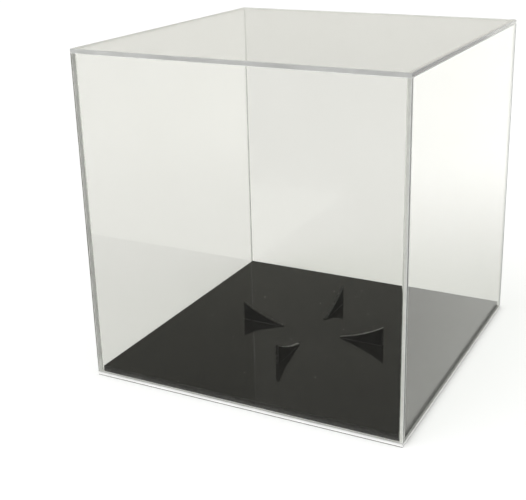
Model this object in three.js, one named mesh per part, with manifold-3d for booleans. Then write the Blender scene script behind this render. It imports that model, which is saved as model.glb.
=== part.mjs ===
// Clear display case for one round ball.
//
// A five-sided cover of clear acrylic sheet lifts straight up off a two-layer base: a clear sole
// as wide as the cover, and a black plate on it that fits inside the cover and centres it.
// Four black fins stand on the plate in a cross. Their hollow upper edges keep the ball from rolling.
//
// Millimetres, +Z up, front face towards -Y. The origin is the centre of the sole's underside.

import * as THREE from "three";
import { mergeVertices } from "three/addons/utils/BufferGeometryUtils.js";
import Module from "manifold-3d";

// Outside of the cover
const COVER_WIDTH = 254; // along X
const COVER_DEPTH = 254; // along Y
const COVER_HEIGHT = 254; // from the sole's top face to the cover's top face

// Sheet thicknesses
const WALL_SHEET = 3; // front, back and side walls
const TOP_SHEET = 3; // top panel
const SOLE_SHEET = 3; // clear bottom layer of the base
const PLATE_SHEET = 4.8; // black top layer of the base
const FIN_SHEET = 3; // fins

// The ball and the fins that hold it
const BALL_RADIUS = 121.5;
const CRADLE_CLEARANCE = 2; // from the ball to the fins' hollow edges
const FIN_OUTER = 64; // from the centre to the upright end of a fin
const FIN_TOE = 0.8; // height of a fin's inner end above the plate
const TAB_LENGTH = 20; // foot of a fin that goes down into the plate
const ARC_SEGMENTS = 20;

// Fits
const PLATE_CLEARANCE = 0.8; // from the plate's edge to the cover's inside
const SLOT_CLEARANCE = 0.3; // round and under a fin's tab

const plateTop = SOLE_SHEET + PLATE_SHEET;
const wallHeight = COVER_HEIGHT - TOP_SHEET;
const insideWidth = COVER_WIDTH - 2 * WALL_SHEET;
const insideDepth = COVER_DEPTH - 2 * WALL_SHEET;
const plateWidth = insideWidth - 2 * PLATE_CLEARANCE;
const plateDepth = insideDepth - 2 * PLATE_CLEARANCE;

// A fin's hollow edge is an arc about the centre of a ball that stands on the plate.
// The fin starts where that arc is as high as the toe.
const ballCentre = plateTop + BALL_RADIUS;
const arcRadius = BALL_RADIUS + CRADLE_CLEARANCE;
const finInner = Math.sqrt(arcRadius ** 2 - (BALL_RADIUS - FIN_TOE) ** 2);
const tabMiddle = (finInner + FIN_OUTER) / 2;

// One quarter turn apart: the direction in which each fin runs outwards from the centre
const FIN_DIRECTIONS = {
  fin_front: new THREE.Vector3(0, -1, 0),
  fin_right: new THREE.Vector3(1, 0, 0),
  fin_back: new THREE.Vector3(0, 1, 0),
  fin_left: new THREE.Vector3(-1, 0, 0),
};
const UP = new THREE.Vector3(0, 0, 1);

const wasm = await Module();
wasm.setup();

function clearAcrylic() {
  return new THREE.MeshStandardMaterial({
    color: 0xe6ece8,
    roughness: 0.04,
    metalness: 0,
    transparent: true,
    opacity: 0.25,
  });
}

function blackAcrylic() {
  return new THREE.MeshStandardMaterial({ color: 0x0b0b0a, roughness: 0.08, metalness: 0 });
}

function named(name, geometry, material) {
  const mesh = new THREE.Mesh(geometry, material);
  mesh.name = name;
  return mesh;
}

// A rectangular piece of sheet, placed by its middle in X and Y and by its underside in Z
function panel(name, width, depth, height, x, y, underside, material) {
  const mesh = named(name, new THREE.BoxGeometry(width, depth, height), material);
  mesh.position.set(x, y, underside + height / 2);
  return mesh;
}

function toSolid(geometry) {
  const bare = geometry.clone();
  bare.deleteAttribute("normal");
  bare.deleteAttribute("uv");
  const merged = mergeVertices(bare);
  return new wasm.Manifold(
    new wasm.Mesh({
      numProp: 3,
      vertProperties: new Float32Array(merged.attributes.position.array),
      triVerts: new Uint32Array(merged.index.array),
    }),
  );
}

function toGeometry(solid) {
  const mesh = solid.getMesh();
  const geometry = new THREE.BufferGeometry();
  geometry.setAttribute("position", new THREE.BufferAttribute(mesh.vertProperties, 3));
  geometry.setIndex(new THREE.BufferAttribute(mesh.triVerts, 1));
  geometry.computeVertexNormals();
  return geometry;
}

// Turns a shape extruded along Z upright: its X runs along direction, and its Y runs up
function standUp(geometry, direction) {
  const across = new THREE.Vector3().crossVectors(direction, UP);
  return geometry.applyMatrix4(new THREE.Matrix4().makeBasis(direction, UP, across));
}

// The lifting cover: full-width front and back, sides between them, and a top over all four
function makeCover() {
  const cover = new THREE.Group();
  const wallY = (COVER_DEPTH - WALL_SHEET) / 2;
  const wallX = (COVER_WIDTH - WALL_SHEET) / 2;
  const topUnderside = SOLE_SHEET + wallHeight;
  cover.add(
    panel("cover_front", COVER_WIDTH, WALL_SHEET, wallHeight, 0, -wallY, SOLE_SHEET, clearAcrylic()),
    panel("cover_back", COVER_WIDTH, WALL_SHEET, wallHeight, 0, wallY, SOLE_SHEET, clearAcrylic()),
    panel("cover_left", WALL_SHEET, insideDepth, wallHeight, -wallX, 0, SOLE_SHEET, clearAcrylic()),
    panel("cover_right", WALL_SHEET, insideDepth, wallHeight, wallX, 0, SOLE_SHEET, clearAcrylic()),
    panel("cover_top", COVER_WIDTH, COVER_DEPTH, TOP_SHEET, 0, 0, topUnderside, clearAcrylic()),
  );
  return cover;
}

function makeSole() {
  return panel("base_sole", COVER_WIDTH, COVER_DEPTH, SOLE_SHEET, 0, 0, 0, clearAcrylic());
}

// The black plate, with one slot right through it for each fin's tab
function makePlate() {
  const blank = new THREE.BoxGeometry(plateWidth, plateDepth, PLATE_SHEET);
  blank.translate(0, 0, SOLE_SHEET + PLATE_SHEET / 2);
  let plate = toSolid(blank);
  const slotLength = TAB_LENGTH + 2 * SLOT_CLEARANCE;
  const slotWidth = FIN_SHEET + 2 * SLOT_CLEARANCE;
  for (const direction of Object.values(FIN_DIRECTIONS)) {
    const slot = new THREE.BoxGeometry(slotLength, 3 * PLATE_SHEET, slotWidth);
    slot.translate(tabMiddle, plateTop, 0);
    plate = plate.subtract(toSolid(standUp(slot, direction)));
  }
  return named("base_plate", toGeometry(plate), blackAcrylic());
}

// A fin's outline: distance from the centre along X, height above the table along Y
function finOutline() {
  const angleAt = (distance) => -Math.acos(distance / arcRadius);
  const tabBottom = SOLE_SHEET + SLOT_CLEARANCE;
  const shape = new THREE.Shape();
  shape.moveTo(finInner, plateTop);
  shape.lineTo(tabMiddle - TAB_LENGTH / 2, plateTop);
  shape.lineTo(tabMiddle - TAB_LENGTH / 2, tabBottom);
  shape.lineTo(tabMiddle + TAB_LENGTH / 2, tabBottom);
  shape.lineTo(tabMiddle + TAB_LENGTH / 2, plateTop);
  shape.lineTo(FIN_OUTER, plateTop);
  shape.absarc(0, ballCentre, arcRadius, angleAt(FIN_OUTER), angleAt(finInner), true);
  shape.closePath();
  return shape;
}

function makeFin(name, direction) {
  const blade = new THREE.ExtrudeGeometry(finOutline(), {
    depth: FIN_SHEET,
    bevelEnabled: false,
    curveSegments: ARC_SEGMENTS,
  });
  blade.translate(0, 0, -FIN_SHEET / 2);
  return named(name, standUp(blade, direction), blackAcrylic());
}

function makeBase() {
  const base = new THREE.Group();
  base.add(makeSole(), makePlate());
  for (const [name, direction] of Object.entries(FIN_DIRECTIONS)) {
    base.add(makeFin(name, direction));
  }
  return base;
}

const displayCase = new THREE.Group();
displayCase.add(makeBase(), makeCover());

export default displayCase;
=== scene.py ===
import math

import bmesh
import bpy
from mathutils import Matrix, Vector, noise


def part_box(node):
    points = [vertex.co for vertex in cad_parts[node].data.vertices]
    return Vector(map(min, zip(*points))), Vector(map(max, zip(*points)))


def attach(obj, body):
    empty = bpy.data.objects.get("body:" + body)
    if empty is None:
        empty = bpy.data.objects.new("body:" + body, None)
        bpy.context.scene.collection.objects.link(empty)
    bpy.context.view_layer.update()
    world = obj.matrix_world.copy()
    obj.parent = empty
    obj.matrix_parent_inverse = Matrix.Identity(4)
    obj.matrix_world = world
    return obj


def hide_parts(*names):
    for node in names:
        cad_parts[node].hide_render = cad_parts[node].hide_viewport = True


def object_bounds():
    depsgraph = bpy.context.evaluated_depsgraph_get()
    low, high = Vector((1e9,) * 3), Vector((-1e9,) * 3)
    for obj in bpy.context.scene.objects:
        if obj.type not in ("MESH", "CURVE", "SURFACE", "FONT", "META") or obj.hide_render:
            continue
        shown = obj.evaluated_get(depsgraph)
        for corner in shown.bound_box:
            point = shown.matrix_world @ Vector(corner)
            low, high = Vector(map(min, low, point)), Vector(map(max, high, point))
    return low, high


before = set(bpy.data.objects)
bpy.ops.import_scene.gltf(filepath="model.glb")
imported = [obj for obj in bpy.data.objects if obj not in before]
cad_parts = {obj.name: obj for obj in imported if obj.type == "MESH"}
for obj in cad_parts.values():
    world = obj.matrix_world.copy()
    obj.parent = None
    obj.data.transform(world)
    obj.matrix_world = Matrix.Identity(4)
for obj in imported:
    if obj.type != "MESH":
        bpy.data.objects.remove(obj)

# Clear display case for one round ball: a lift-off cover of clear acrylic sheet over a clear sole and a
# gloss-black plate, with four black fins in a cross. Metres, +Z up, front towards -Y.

MM = 0.001
X, Y, Z = 0, 1, 2
SIDEWAYS, BACKWARDS, UP = Vector((1, 0, 0)), Vector((0, 1, 0)), Vector((0, 0, 1))
CAD_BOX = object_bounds()

# Sheets
ACRYLIC_IOR = 1.49
FACE_LAMP_TINT = (0.95, 0.955, 0.945, 1)  # of lamp light that has gone through a sheet's face
EDGE_LAMP_TINT = (0.85, 0.85, 0.84, 1)  # and through its edge
CEMENT_LAMP_TINT = (0.9, 0.91, 0.89, 1)
SPECK_DRAW = (0.72, 0.74)  # a cell has a speck when its own draw is above these
SPECK_CORE = 0.6  # share of a speck's radius that is at full strength
ARRIS = 0.3 * MM  # rounding of the clear sheets' edges
ARRIS_STEPS = 3
SOLE_FOOT_ARRIS = 0.9 * MM  # the sole's lower edge is rounded more
BLACK_ARRIS = 0.35 * MM  # rounding of the plate's and the fins' edges
CEMENT_FILM = 0.02 * MM  # between two sheets that touch
FLAT = 0.999  # a face lies across an axis when its normal is more than this along it

# Fins
FINS = ("fin_front", "fin_right", "fin_back", "fin_left")
FIN_TOE = 0.8 * MM  # height of a fin's inner end above the plate
FIN_TAB_LENGTH = 20 * MM  # the foot of a fin that goes down into the plate
FIN_SLOT_GAP = 0.3 * MM  # round a tab
FIN_ARC_STEPS = 72
FIN_ARRIS_STEPS = 2
FACE_ORDER = Vector((1.0, 3.7, 11.3))  # the plate's faces are sorted along this

# Cement beads: the leg of a bead where it is thinnest and where it is thickest
COVER_BEAD = (0.45 * MM, 0.95 * MM)
FIN_BEAD = (0.15 * MM, 0.30 * MM)
BEAD_STEP = 3 * MM
BEAD_FACETS = 5
BEAD_WAVES = 90.0  # how often a bead swells and thins, per metre
BEAD_FOOT_GAP = 2 * MM  # the upright beads end this far above the cover's rim
FIN_BEAD_GAP = 0.6 * MM  # a fin's bead ends this far inside the fin's ends

# Stage
FLOOR_SIZE = 16.0
FLOOR_GAP = 0.05 * MM
PAPER = ((0.92, 0.92, 0.915, 1), (0.96, 0.96, 0.955, 1))
# Painted shade in the floor's reflection: dim near the case, dark in front, darker still close round its
# foot.
PAPER_UNLIT = (0.02, 0.02, 0.018, 1)  # what full painted shade makes of the floor's reflection
PAPER_FADE = (0.20, 0.70)  # distances from the centre between which the painted shade in its reflection falls from near to far
PAPER_NEAR_SHADE = 0.45
PAPER_FAR_SHADE = 0.06
PAPER_FRONT_EDGE = (-2 * MM, 13 * MM)  # distances ahead of the case between which its reflection is painted dark
PAPER_FRONT_SHADE = 0.94
PAPER_FOOT = (4 * MM, 9 * MM)  # distances from the case between which the band of painted shade round it ends
PAPER_FOOT_SHADE = 0.85
SKY_LOW = (1.0, 1.0, 0.99, 1)  # light from the horizon, and what is seen past the floor
SKY_HIGH = (0.16, 0.16, 0.16, 1)  # light from overhead, beside the lamps
SKY_RISE = (0.10, 0.32)  # upward share of a direction, from the low light to the high
MIRRORED_LOW = (0.74, 0.735, 0.69, 1)  # what gloss shows of the studio, low down and high up
MIRRORED_HIGH = (0.30, 0.30, 0.27, 1)
MIRRORED_RISE = (0.05, 0.42)
MIRRORED_FRONT = (0.45, 0.45, 0.43, 1)  # what it shows of the studio in front of the case
MIRRORED_TURN = (-0.10, -0.35)  # backward share of a direction, from the side's tone to the front's
MIRRORED_KEY = (1.7, 1.7, 1.65, 1)  # what it shows of the key light's cloth
MIRRORED_CLOTH = (0.78, 0.97)  # cosine of the angle to the key light, from the cloth's edge inwards
KEY_DIRECTION = Vector((-0.5, -0.6, 1.0))  # towards the lamp
KEY_SPREAD = 50  # degrees
KEY_STRENGTH = 2.6
FILL_DIRECTION = Vector((0.7, 0.2, 1.0))
FILL_SPREAD = 60
FILL_STRENGTH = 1.15

# Camera: angles in degrees, lens and sensor in millimetres, shift as a share of the picture
CAMERA_PLACE = Vector((0.3181, -0.6737, 0.3645))
CAMERA_AZIMUTH = 26.32
CAMERA_ELEVATION = 18.99
CAMERA_ROLL = 0.90
CAMERA_LENS = 66.59
CAMERA_SENSOR = 36.0
CAMERA_SHIFT = -0.06
CAMERA_CLIP = (0.01, 100.0)


# ---------------------------------------------------------------- node helpers

class Nodes:
    """Builds one node tree. An input takes a number, a colour or another node's output."""

    def __init__(self, tree):
        self.tree = tree
        tree.nodes.clear()

    def add(self, kind, settings=None, **inputs):
        node = self.tree.nodes.new(kind)
        for name, value in (settings or {}).items():
            setattr(node, name, value)
        for name, value in inputs.items():
            self.feed(node.inputs[name.replace("_", " ")], value)
        return node

    def feed(self, socket, value):
        if isinstance(value, bpy.types.NodeSocket):
            self.tree.links.new(value, socket)
        else:
            socket.default_value = value

    def place(self, stretch=(1, 1, 1)):
        """A point of the piece in metres, with its axes stretched."""
        point = self.add("ShaderNodeTexCoord").outputs["Object"]
        return self.add("ShaderNodeMapping", Vector=point, Scale=stretch).outputs["Vector"]

    def noise(self, place, scale=1.0, detail=4.0, roughness=0.5):
        node = self.add("ShaderNodeTexNoise", Vector=place, Scale=scale, Detail=detail, Roughness=roughness)
        return node.outputs["Fac"]

    def ramp(self, value, start, end, low=0.0, high=1.0):
        """Goes smoothly from low to high while the value goes from start to end."""
        node = self.add("ShaderNodeMapRange", {"interpolation_type": "SMOOTHSTEP"}, Value=value)
        for name, number in (("From Min", start), ("From Max", end), ("To Min", low), ("To Max", high)):
            node.inputs[name].default_value = number
        return node.outputs["Result"]

    def math(self, operation, first, second=0.0):
        node = self.add("ShaderNodeMath", {"operation": operation})
        self.feed(node.inputs[0], first)
        self.feed(node.inputs[1], second)
        return node.outputs["Value"]

    def vector_math(self, operation, first, second=(0, 0, 0)):
        node = self.add("ShaderNodeVectorMath", {"operation": operation})
        self.feed(node.inputs[0], first)
        self.feed(node.inputs[1], second)
        return node.outputs["Value"]

    def mix_colour(self, factor, first, second):
        """A Mix node has sockets for each kind of value. These are the ones for colours."""
        node = self.add("ShaderNodeMix", {"data_type": "RGBA"})
        self.feed(node.inputs["Factor"], factor)
        self.feed(node.inputs[6], first)
        self.feed(node.inputs[7], second)
        return node.outputs[2]

    def specks(self, place, scale, radius):
        """1 on small scattered specks, 0 between them. The radius is a share of a cell."""
        cells = self.add("ShaderNodeTexVoronoi", Vector=place, Scale=scale)
        near = self.ramp(cells.outputs["Distance"], start=radius, end=radius * SPECK_CORE)
        draw = self.add("ShaderNodeSeparateColor", Color=cells.outputs["Color"]).outputs["Red"]
        chosen = self.ramp(draw, *SPECK_DRAW)
        return self.math("MULTIPLY", near, chosen)

    def bump(self, height, strength, distance):
        node = self.add("ShaderNodeBump", Height=height, Strength=strength, Distance=distance)
        return node.outputs["Normal"]

    def mirrored(self):
        """1 for what is seen by way of a reflection, 0 for what is seen directly or through clear sheet."""
        depth = self.add("ShaderNodeLightPath").outputs["Glossy Depth"]
        return self.math("GREATER_THAN", depth, 0.5)


def new_material(name):
    material = bpy.data.materials.new(name)
    material.use_nodes = True
    return material, Nodes(material.node_tree)


def finish_clear(nodes, tint, rough, normal, transmission, lamp_tint, specular=0.5):
    """Clear plastic that casts no solid shadow: lamps and scattered light pass straight through it."""
    plastic = nodes.add("ShaderNodeBsdfPrincipled", Base_Color=tint, Roughness=rough, IOR=ACRYLIC_IOR)
    nodes.feed(plastic.inputs["Transmission Weight"], transmission)
    nodes.feed(plastic.inputs["Specular IOR Level"], specular)
    nodes.feed(plastic.inputs["Normal"], normal)
    path = nodes.add("ShaderNodeLightPath")
    passing = nodes.math("MAXIMUM", path.outputs["Is Shadow Ray"], path.outputs["Is Diffuse Ray"])
    straight = nodes.add("ShaderNodeBsdfTransparent", Color=lamp_tint)
    mix = nodes.add("ShaderNodeMixShader", Fac=passing)
    nodes.feed(mix.inputs[1], plastic.outputs["BSDF"])
    nodes.feed(mix.inputs[2], straight.outputs["BSDF"])
    nodes.add("ShaderNodeOutputMaterial", Surface=mix.outputs["Shader"])


def finish_solid(nodes, tint, rough, specular, normal=None):
    """Opaque plastic or paper."""
    solid = nodes.add("ShaderNodeBsdfPrincipled", Base_Color=tint, Roughness=rough, IOR=ACRYLIC_IOR)
    nodes.feed(solid.inputs["Specular IOR Level"], specular)
    if normal is not None:
        nodes.feed(solid.inputs["Normal"], normal)
    nodes.add("ShaderNodeOutputMaterial", Surface=solid.outputs["BSDF"])


# ------------------------------------------------------------------- materials

def clear_face_material():
    """Polished face of clear sheet: faintly uneven, with haze where it was wiped and hairline scratches."""
    material, nodes = new_material("clear_face")
    place = nodes.place()
    haze = nodes.ramp(nodes.noise(place, scale=9.0, detail=5.0, roughness=0.6), start=0.45, end=0.75)
    hairs = nodes.noise(nodes.place(stretch=(900, 14, 40)), detail=2.0, roughness=0.4)
    hairs = nodes.ramp(hairs, start=0.70, end=0.78)
    haze_rough = nodes.math("MULTIPLY", haze, 0.012)
    hair_rough = nodes.math("MULTIPLY", hairs, 0.02)
    rough = nodes.math("ADD", haze_rough, hair_rough)
    tint = nodes.mix_colour(haze, (0.912, 0.912, 0.890, 1), (0.900, 0.900, 0.875, 1))
    waves = nodes.bump(nodes.noise(place, scale=14.0, detail=1.0), strength=0.02, distance=1 * MM)
    finish_clear(nodes, tint, rough, waves, transmission=1.0, lamp_tint=FACE_LAMP_TINT)
    return material


def clear_edge_material():
    """Sawn and scraped free edge of clear sheet: dull light grey, with fine marks."""
    material, nodes = new_material("clear_edge")
    marks = nodes.noise(nodes.place(), scale=1400.0, detail=2.0, roughness=0.6)
    blotches = nodes.ramp(nodes.noise(nodes.place(), scale=60.0, detail=3.0), start=0.3, end=0.7)
    tint = nodes.mix_colour(blotches, (0.76, 0.765, 0.75, 1), (0.88, 0.885, 0.87, 1))
    rough = nodes.ramp(marks, start=0.3, end=0.7, low=0.28, high=0.45)
    normal = nodes.bump(marks, strength=0.25, distance=0.2 * MM)
    finish_clear(nodes, tint, rough, normal, transmission=0.5, lamp_tint=EDGE_LAMP_TINT)
    return material


def clear_frosted_material():
    """Edge of a sheet in its cement: whitish, with streaks and fine bubbles."""
    material, nodes = new_material("clear_frosted")
    place = nodes.place()
    streaks = nodes.ramp(nodes.noise(place, scale=210.0, roughness=0.6), start=0.30, end=0.70)
    bubbles = nodes.specks(place, scale=700.0, radius=0.30)
    tint = nodes.mix_colour(streaks, (0.86, 0.865, 0.85, 1), (0.97, 0.97, 0.955, 1))
    tint = nodes.mix_colour(bubbles, tint, (0.72, 0.725, 0.715, 1))
    rough = nodes.ramp(streaks, start=0.0, end=1.0, low=0.30, high=0.42)
    normal = nodes.bump(bubbles, strength=0.4, distance=0.2 * MM)
    finish_clear(nodes, tint, rough, normal, transmission=0.3, lamp_tint=EDGE_LAMP_TINT)
    return material


def clear_rim_material():
    """The sole's sanded rim: white and matt, with fine upright scratches and a few smoother stretches."""
    material, nodes = new_material("clear_rim")
    scratches = nodes.noise(nodes.place(stretch=(1, 1, 0.15)), scale=900.0, detail=3.0, roughness=0.6)
    stretches = nodes.ramp(nodes.noise(nodes.place(), scale=45.0, detail=3.0), start=0.35, end=0.70)
    tint = nodes.mix_colour(stretches, (0.88, 0.88, 0.87, 1), (0.96, 0.96, 0.95, 1))
    rough = nodes.ramp(scratches, start=0.3, end=0.7, low=0.34, high=0.52)
    normal = nodes.bump(scratches, strength=0.25, distance=0.2 * MM)
    finish_clear(nodes, tint, rough, normal, transmission=0.08, lamp_tint=EDGE_LAMP_TINT, specular=0.1)
    return material


def clear_end_material():
    """Flame-polished end of a sheet: smooth, with painted shade: its dark grey tint stands in for how dark
    it looks when one looks along the sheet in it.
    """
    material, nodes = new_material("clear_end")
    ripples = nodes.noise(nodes.place(stretch=(1, 1, 0.25)), scale=420.0, detail=2.0)
    painted_shade_tone = nodes.noise(nodes.place(), scale=50.0, detail=3.0)
    # the grey tint is painted shade, for the darkness seen along the sheet; the noise varies it at random
    tint = nodes.mix_colour(painted_shade_tone, (0.40, 0.405, 0.395, 1), (0.58, 0.585, 0.57, 1))
    rough = nodes.ramp(ripples, start=0.3, end=0.7, low=0.08, high=0.18)
    normal = nodes.bump(ripples, strength=0.2, distance=0.3 * MM)
    finish_clear(nodes, tint, rough, normal, transmission=0.75, lamp_tint=EDGE_LAMP_TINT)
    return material


def cement_material():
    """Solvent cement that has run out into a corner: clear, wet-looking, slightly uneven."""
    material, nodes = new_material("cement")
    runs = nodes.noise(nodes.place(), scale=260.0, detail=3.0)
    tint = nodes.mix_colour(runs, (0.88, 0.90, 0.87, 1), (0.96, 0.97, 0.95, 1))
    rough = nodes.ramp(runs, start=0.3, end=0.7, low=0.03, high=0.14)
    normal = nodes.bump(runs, strength=0.3, distance=0.2 * MM)
    finish_clear(nodes, tint, rough, normal, transmission=1.0, lamp_tint=CEMENT_LAMP_TINT)
    return material


def black_face_material():
    """High-gloss black sheet: wiping haze, swirl marks and a little dust."""
    material, nodes = new_material("black_face")
    place = nodes.place()
    haze = nodes.ramp(nodes.noise(place, scale=12.0, detail=6.0, roughness=0.62), start=0.42, end=0.72)
    swirls = nodes.ramp(nodes.noise(nodes.place(stretch=(320, 60, 320)), detail=3.0), start=0.62, end=0.75)
    dust = nodes.specks(place, scale=130.0, radius=0.055)
    haze_rough = nodes.math("MULTIPLY", haze, 0.03)
    swirl_rough = nodes.math("MULTIPLY", swirls, 0.03)
    dust_rough = nodes.math("MULTIPLY", dust, 0.5)
    rough = nodes.math("ADD", haze_rough, swirl_rough)
    rough = nodes.math("ADD", rough, dust_rough)
    rough = nodes.math("ADD", rough, 0.015)
    tint = nodes.mix_colour(haze, (0.0028, 0.0026, 0.0022, 1), (0.0055, 0.0052, 0.0045, 1))
    tint = nodes.mix_colour(dust, tint, (0.34, 0.33, 0.31, 1))
    finish_solid(nodes, tint, rough, specular=0.5)
    return material


def black_edge_material():
    """Cut edge of black sheet: satin, with fine marks."""
    material, nodes = new_material("black_edge")
    marks = nodes.noise(nodes.place(), scale=1200.0, detail=2.0, roughness=0.6)
    tint = nodes.mix_colour(marks, (0.010, 0.010, 0.009, 1), (0.028, 0.027, 0.025, 1))
    rough = nodes.ramp(marks, start=0.3, end=0.7, low=0.18, high=0.34)
    normal = nodes.bump(marks, strength=0.2, distance=0.2 * MM)
    finish_solid(nodes, tint, rough, specular=0.4, normal=normal)
    return material


def floor_material():
    """White paper. What gloss mirrors of it gets painted shade: dimmer near the case, and dark in front and
    close round.
    """
    material, nodes = new_material("floor_paper")
    place = nodes.place()
    tint = nodes.mix_colour(nodes.noise(place, scale=900.0, detail=3.0), *PAPER)
    # painted shade for the floor's reflection: near the case, in front of it and round its foot
    distance = nodes.vector_math("LENGTH", place)
    near_shade = nodes.ramp(distance, *PAPER_FADE, low=PAPER_NEAR_SHADE, high=PAPER_FAR_SHADE)
    parts = nodes.add("ShaderNodeSeparateXYZ", Vector=place)
    front, side = CAD_BOX[0].y, CAD_BOX[1].x
    front_starts, front_ends = [front - step for step in PAPER_FRONT_EDGE]
    front_shade = nodes.ramp(parts.outputs["Y"], front_starts, front_ends, high=PAPER_FRONT_SHADE)
    sideways, backwards = [nodes.math("ABSOLUTE", parts.outputs[name]) for name in ("X", "Y")]
    foot_starts, foot_ends = [side + step for step in PAPER_FOOT]
    reach = nodes.math("MAXIMUM", sideways, backwards)
    foot_shade = nodes.ramp(reach, foot_starts, foot_ends, low=PAPER_FOOT_SHADE, high=0.0)
    painted_shade = nodes.math("MAXIMUM", nodes.math("MAXIMUM", near_shade, foot_shade), front_shade)
    # the painted shade goes only into what gloss mirrors of the floor
    painted_shade = nodes.math("MULTIPLY", painted_shade, nodes.mirrored())
    tint = nodes.mix_colour(painted_shade, tint, PAPER_UNLIT)
    finish_solid(nodes, tint, rough=0.75, specular=0.1)
    return material


# ---------------------------------------------------------------- mesh helpers

def make_piece(name, made, materials, body, replaced=()):
    """Turns a bmesh into a piece that rides on a body and stands for its CAD nodes."""
    bmesh.ops.recalc_face_normals(made, faces=made.faces)
    mesh = bpy.data.meshes.new(name)
    made.to_mesh(mesh)
    made.free()
    for material in materials:
        mesh.materials.append(material)
    piece = bpy.data.objects.new(name, mesh)
    bpy.context.scene.collection.objects.link(piece)
    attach(piece, body)
    if replaced:
        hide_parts(*replaced)


def inset_box(node, gaps):
    """A CAD node's box with its sides moved in: low x, high x, low y, high y, low z, high z."""
    low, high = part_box(node)
    return low + Vector(gaps[0::2]), high - Vector(gaps[1::2])


def add_band(made, near, far):
    """Faces between two closed rings of vertices. They are returned in the rings' order."""
    around = range(len(near))
    turned = [(i + 1) % len(near) for i in around]
    return [made.faces.new((near[i], near[j], far[j], far[i])) for i, j in zip(around, turned)]


def slab(low, high, arris, frosted=(), ends=()):
    """A rectangular sheet with rounded edges. Material 0 is on its two broad faces, 1 on its edges,
    2 on its frosted edges and 3 on its polished ends. Those two are given as (axis, sign) pairs."""
    made = bmesh.new()
    size = high - low
    bmesh.ops.create_cube(made, size=1.0)
    for vertex in made.verts:
        vertex.co = low + Vector([(vertex.co[axis] + 0.5) * size[axis] for axis in (X, Y, Z)])
    bmesh.ops.bevel(
        made, geom=made.edges[:], offset=arris, segments=ARRIS_STEPS, profile=0.5, affect="EDGES"
    )
    thin = min((X, Y, Z), key=lambda axis: size[axis])
    for face in made.faces:
        axis = max((X, Y, Z), key=lambda axis: abs(face.normal[axis]))
        side = (axis, 1 if face.normal[axis] > 0 else -1)
        flat = abs(face.normal[axis]) > FLAT
        if flat and axis == thin:
            face.material_index = 0
        elif flat and side in frosted:
            face.material_index = 2
        elif flat and side in ends:
            face.material_index = 3
        else:
            face.material_index = 1
    return made


# ---------------------------------------------------------------- cement beads

def bead_leg(point, sizes, phase):
    """How far a bead reaches at a point. Beads with different phases swell in different places."""
    swell = noise.noise((point + SIDEWAYS * phase) * BEAD_WAVES) * 0.5 + 0.5
    return sizes[0] + (sizes[1] - sizes[0]) * swell


def add_bead(made, start, end, first, second, sizes, phase):
    """A bead with a hollow face, from start to end, in the corner between two directions."""
    steps = max(2, round((end - start).length / BEAD_STEP))
    rings = []
    for step in range(steps + 1):
        root = start.lerp(end, step / steps)
        leg = bead_leg(root, sizes, phase)
        ring = [made.verts.new(root)]
        for turn in range(BEAD_FACETS + 1):
            angle = math.pi / 2 * turn / BEAD_FACETS
            reach = first * (1 - math.sin(angle)) + second * (1 - math.cos(angle))
            ring.append(made.verts.new(root + reach * leg))
        rings.append(ring)
    made.faces.new(rings[0])
    made.faces.new(reversed(rings[-1]))
    for near, far in zip(rings, rings[1:]):
        add_band(made, near, far)


# ----------------------------------------------------------------------- cover

def make_cover(face, edge, frosted, end):
    """Five sheets: node, gaps, sides that their cement has whitened, polished ends. The walls keep a
    cement film's thickness to every sheet that they meet, the sole too. The left wall's front edge
    stayed grey."""
    film = CEMENT_FILM
    left, right, front, back, top = (X, -1), (X, 1), (Y, -1), (Y, 1), (Z, 1)
    sheets = (
        ("cover_front", (0, 0, 0, 0, film, film), (top,), (left, right)),
        ("cover_back", (0, 0, 0, 0, film, film), (top,), (left, right)),
        ("cover_left", (0, 0, film, film, film, film), (top, back), ()),
        ("cover_right", (0, 0, film, film, film, film), (top, front, back), ()),
        ("cover_top", (0, 0, 0, 0, 0, 0), (), (left, right)),
    )
    for node, gaps, cemented, polished in sheets:
        sheet = slab(*inset_box(node, gaps), ARRIS, cemented, polished)
        make_piece("clear_" + node, sheet, [face, edge, frosted, end], "cover", [node])


def cover_beads():
    """Beads in the cover's four upright inner corners and round the underside of its top."""
    made = bmesh.new()
    film, thick = CEMENT_FILM, COVER_BEAD[1]
    low = Vector((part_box("cover_left")[1].x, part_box("cover_front")[1].y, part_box("cover_front")[0].z))
    high = Vector((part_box("cover_right")[0].x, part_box("cover_back")[0].y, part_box("cover_top")[0].z))
    walls_x = ((low.x + film, SIDEWAYS), (high.x - film, -SIDEWAYS))
    walls_y = ((low.y + film, BACKWARDS), (high.y - film, -BACKWARDS))
    roof = high.z - film
    for x, inward_x in walls_x:
        for y, inward_y in walls_y:
            foot = Vector((x, y, low.z + BEAD_FOOT_GAP))
            head = Vector((x, y, roof - thick))
            corner_phase = x + 3 * y
            add_bead(made, foot, head, inward_x, inward_y, COVER_BEAD, corner_phase)
    for y, inward in walls_y:
        start = Vector((low.x + film + thick, y, roof))
        end = Vector((high.x - film - thick, y, roof))
        add_bead(made, start, end, -UP, inward, COVER_BEAD, y)
    for x, inward in walls_x:
        start = Vector((x, low.y + film + thick, roof))
        end = Vector((x, high.y - film - thick, roof))
        add_bead(made, start, end, -UP, inward, COVER_BEAD, x)
    return made


# ------------------------------------------------------------------------ base

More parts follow.
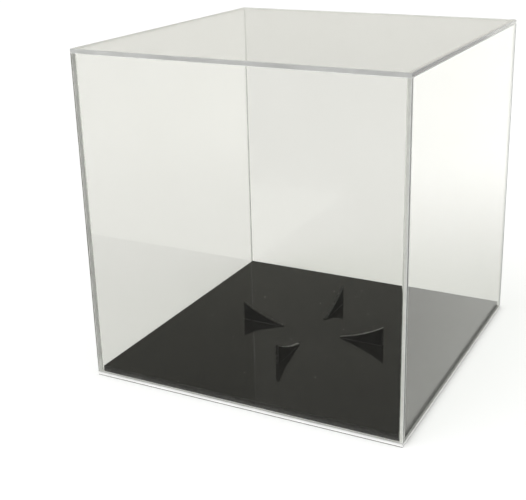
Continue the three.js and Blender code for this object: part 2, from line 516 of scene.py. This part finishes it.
def sole_sheet():
    """The clear sole: material 0 on its broad faces, 1 on its upper arris, 2 on its rim, 3 on its foot."""
    low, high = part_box("base_sole")
    turns = [math.pi / 2 * step / ARRIS_STEPS for step in range(ARRIS_STEPS + 1)]
    foot, crown = SOLE_FOOT_ARRIS, ARRIS
    levels = [(foot * (1 - math.sin(turn)), low.z + foot * (1 - math.cos(turn))) for turn in turns]
    levels += [(crown * (1 - math.cos(turn)), high.z - crown * (1 - math.sin(turn))) for turn in turns]
    made = bmesh.new()
    rings = []
    for inset, z in levels:
        left, right, near, far = low.x + inset, high.x - inset, low.y + inset, high.y - inset
        corners = ((left, near), (right, near), (right, far), (left, far))
        rings.append([made.verts.new((x, y, z)) for x, y in corners])
    made.faces.new(reversed(rings[0]))
    made.faces.new(rings[-1])
    # The foot takes the end material, so its dark painted tint draws a line of painted shade along the
    # sole's foot.
    bands = [3] * ARRIS_STEPS + [2] + [1] * ARRIS_STEPS
    for material_index, lower, upper in zip(bands, rings, rings[1:]):
        for face in add_band(made, lower, upper):
            face.material_index = material_index
    return made


def fin_frame(node):
    """A fin's outward and sideways directions, its ends' distances, its foot's and its crest's height."""
    low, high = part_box(node)
    middle = (low + high) / 2
    axis = X if abs(middle.x) > abs(middle.y) else Y
    outward = Vector((0, 0, 0))
    outward[axis] = math.copysign(1, middle[axis])
    across = (SIDEWAYS, BACKWARDS)[1 - axis]
    ends = sorted((abs(low[axis]), abs(high[axis])))
    return outward, across, ends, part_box("base_plate")[1].z, high.z


def fin_thickness(node, across):
    """The thickness of the sheet that a fin is cut from."""
    low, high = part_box(node)
    return (high - low).dot(across)


def tab_ends(ends, gap=0.0):
    """Distances from the centre at which a fin's tab, or its slot, starts and stops."""
    middle = sum(ends) / 2
    half = FIN_TAB_LENGTH / 2 + gap
    return middle - half, middle + half


def fin_outline(ends, foot, crest, tab_foot):
    """Distances from the centre and heights. The hollow edge is an arc about the case's middle axis."""
    inner, outer = ends
    toe = foot + FIN_TOE
    centre = (outer ** 2 - inner ** 2 + crest ** 2 - toe ** 2) / (2 * (crest - toe))
    radius = math.hypot(inner, centre - toe)
    outline = [(inner, foot)]
    for step in range(FIN_ARC_STEPS + 1):
        distance = inner + (outer - inner) * step / FIN_ARC_STEPS
        outline.append((distance, centre - math.sqrt(radius ** 2 - distance ** 2)))
    tab_starts, tab_stops = tab_ends(ends)
    outline += [(outer, foot), (tab_stops, foot), (tab_stops, tab_foot)]
    outline += [(tab_starts, tab_foot), (tab_starts, foot)]
    return outline


def is_flank(face, across):
    """True for a fin's two broad faces."""
    return abs(face.normal.dot(across)) > FLAT


def fin_blade(node):
    """One fin, with rounded edges. Material 0 is on its two flanks, 1 on its edges."""
    outward, across, ends, foot, crest = fin_frame(node)
    half = across * fin_thickness(node, across) / 2
    made = bmesh.new()
    outline = fin_outline(ends, foot, crest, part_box(node)[0].z)
    spine = [outward * distance + UP * height for distance, height in outline]
    near = [made.verts.new(point - half) for point in spine]
    far = [made.verts.new(point + half) for point in spine]
    made.faces.new(near)
    made.faces.new(reversed(far))
    add_band(made, near, far)
    bmesh.ops.recalc_face_normals(made, faces=made.faces)
    rims = [edge for edge in made.edges if len([f for f in edge.link_faces if is_flank(f, across)]) == 1]
    bmesh.ops.bevel(
        made, geom=rims, offset=BLACK_ARRIS, segments=FIN_ARRIS_STEPS, profile=0.5, affect="EDGES"
    )
    for face in made.faces:
        face.material_index = 0 if is_flank(face, across) else 1
    return made


def slot_corners(node, height):
    """The corners of the slot for a fin's tab, going round."""
    outward, across, ends, _, _ = fin_frame(node)
    starts, stops = tab_ends(ends, FIN_SLOT_GAP)
    half = fin_thickness(node, across) / 2 + FIN_SLOT_GAP
    corners = ((starts, -half), (stops, -half), (stops, half), (starts, half))
    return [outward * distance + across * aside + UP * height for distance, aside in corners]


def slotted_plate():
    """The black plate, with a slot right through it for each fin's tab. The fill returns its faces in
    another order on each run, so they are sorted."""
    low, high = inset_box("base_plate", (0, 0, 0, 0, CEMENT_FILM, 0))
    made = slab(low, high, BLACK_ARRIS)
    broad = [face for face in made.faces if face.material_index == 0]
    rims = [list(face.edges) for face in sorted(broad, key=lambda face: face.normal.z)]
    bmesh.ops.delete(made, geom=broad, context="FACES_ONLY")
    for node in FINS:
        rings = [[made.verts.new(point) for point in slot_corners(node, z)] for z in (low.z, high.z)]
        for wall in add_band(made, *rings):
            wall.material_index = 1
        for rim, ring in zip(rims, rings):
            rim += [made.edges.get((a, b)) for a, b in zip(ring, ring[1:] + ring[:1])]
    for rim in rims:
        bmesh.ops.triangle_fill(made, edges=rim, use_beauty=True)
    made.faces.sort(key=lambda face: face.calc_center_median().dot(FACE_ORDER))
    return made


def fin_beads():
    """Softened black sheet that the cement squeezed out along both sides of every fin's foot."""
    made = bmesh.new()
    for node in FINS:
        outward, across, (inner, outer), foot, _ = fin_frame(node)
        half = fin_thickness(node, across) / 2
        for flank in (-1, 1):
            root = across * (flank * (half + CEMENT_FILM)) + UP * (foot + CEMENT_FILM)
            start = outward * (inner + FIN_BEAD_GAP) + root
            end = outward * (outer - FIN_BEAD_GAP) + root
            add_bead(made, start, end, UP, across * flank, FIN_BEAD, flank)
    return made


def make_base(clear, black_face, black_edge):
    make_piece("clear_base_sole", sole_sheet(), clear, "base", ["base_sole"])
    black = [black_face, black_edge]
    make_piece("black_base_plate", slotted_plate(), black, "base", ["base_plate"])
    for node in FINS:
        make_piece("black_" + node, fin_blade(node), black, "base", [node])
    make_piece("fin_cement", fin_beads(), [black_edge], "base")


# ----------------------------------------------------------------------- stage

def make_floor():
    half = FLOOR_SIZE / 2
    mesh = bpy.data.meshes.new("floor")
    corners = [(-half, -half, 0), (half, -half, 0), (half, half, 0), (-half, half, 0)]
    mesh.from_pydata(corners, [], [(0, 1, 2, 3)])
    mesh.materials.append(floor_material())
    floor = bpy.data.objects.new("floor", mesh)
    floor.location.z = -FLOOR_GAP
    bpy.context.scene.collection.objects.link(floor)


def make_world():
    """White where it is seen directly. What gloss mirrors of it is light grey low down, darker higher up
    and at the front, and bright where the key light's cloth would be. Dull surfaces get light from it
    that is white low down and dark grey overhead."""
    world = bpy.data.worlds.new("studio")
    world.use_nodes = True
    bpy.context.scene.world = world
    nodes = Nodes(world.node_tree)
    direction = nodes.add("ShaderNodeTexCoord").outputs["Generated"]
    parts = nodes.add("ShaderNodeSeparateXYZ", Vector=direction)
    light = nodes.mix_colour(nodes.ramp(parts.outputs["Z"], *SKY_RISE), SKY_LOW, SKY_HIGH)
    rise = nodes.ramp(parts.outputs["Z"], *MIRRORED_RISE)
    mirror = nodes.mix_colour(rise, MIRRORED_LOW, MIRRORED_HIGH)
    ahead = nodes.ramp(parts.outputs["Y"], *MIRRORED_TURN)
    mirror = nodes.mix_colour(ahead, mirror, MIRRORED_FRONT)
    cloth = nodes.vector_math("DOT_PRODUCT", direction, KEY_DIRECTION.normalized())
    mirror = nodes.mix_colour(nodes.ramp(cloth, *MIRRORED_CLOTH), mirror, MIRRORED_KEY)
    scattered = nodes.add("ShaderNodeLightPath").outputs["Is Diffuse Ray"]
    colour = nodes.mix_colour(scattered, SKY_LOW, light)
    colour = nodes.mix_colour(nodes.mirrored(), colour, mirror)
    sky = nodes.add("ShaderNodeBackground", Color=colour)
    nodes.add("ShaderNodeOutputWorld", Surface=sky.outputs["Background"])


def add_lamp(name, direction, spread, strength):
    """Soft, even light from a direction. Gloss doesn't mirror it: the world shows the key light's cloth."""
    data = bpy.data.lights.new(name, "SUN")
    data.angle = math.radians(spread)
    data.energy = strength
    lamp = bpy.data.objects.new(name, data)
    lamp.rotation_mode = "QUATERNION"
    lamp.rotation_quaternion = direction.to_track_quat("Z", "Y")
    lamp.visible_glossy = False
    lamp.visible_transmission = False
    bpy.context.scene.collection.objects.link(lamp)


def make_camera():
    azimuth, elevation = math.radians(CAMERA_AZIMUTH), math.radians(CAMERA_ELEVATION)
    ahead = Vector((
        -math.sin(azimuth) * math.cos(elevation),
        math.cos(azimuth) * math.cos(elevation),
        -math.sin(elevation),
    ))
    data = bpy.data.cameras.new("camera")
    data.lens = CAMERA_LENS
    data.sensor_width = CAMERA_SENSOR
    data.shift_x = CAMERA_SHIFT
    data.shift_y = CAMERA_SHIFT
    data.clip_start, data.clip_end = CAMERA_CLIP
    camera = bpy.data.objects.new("camera", data)
    level = ahead.to_track_quat("-Z", "Y").to_matrix().to_4x4()
    roll = Matrix.Rotation(-math.radians(CAMERA_ROLL), 4, "Z")
    camera.matrix_world = Matrix.Translation(CAMERA_PLACE) @ level @ roll
    bpy.context.scene.collection.objects.link(camera)
    bpy.context.scene.camera = camera


def main():
    face, edge, end = clear_face_material(), clear_edge_material(), clear_end_material()
    make_cover(face, edge, clear_frosted_material(), end)
    make_piece("cover_cement", cover_beads(), [cement_material()], "cover")
    make_base([face, edge, clear_rim_material(), end], black_face_material(), black_edge_material())
    make_floor()
    make_world()
    add_lamp("key_light", KEY_DIRECTION, KEY_SPREAD, KEY_STRENGTH)
    add_lamp("fill_light", FILL_DIRECTION, FILL_SPREAD, FILL_STRENGTH)
    make_camera()
    bpy.context.scene.view_settings.view_transform = "Standard"


main()
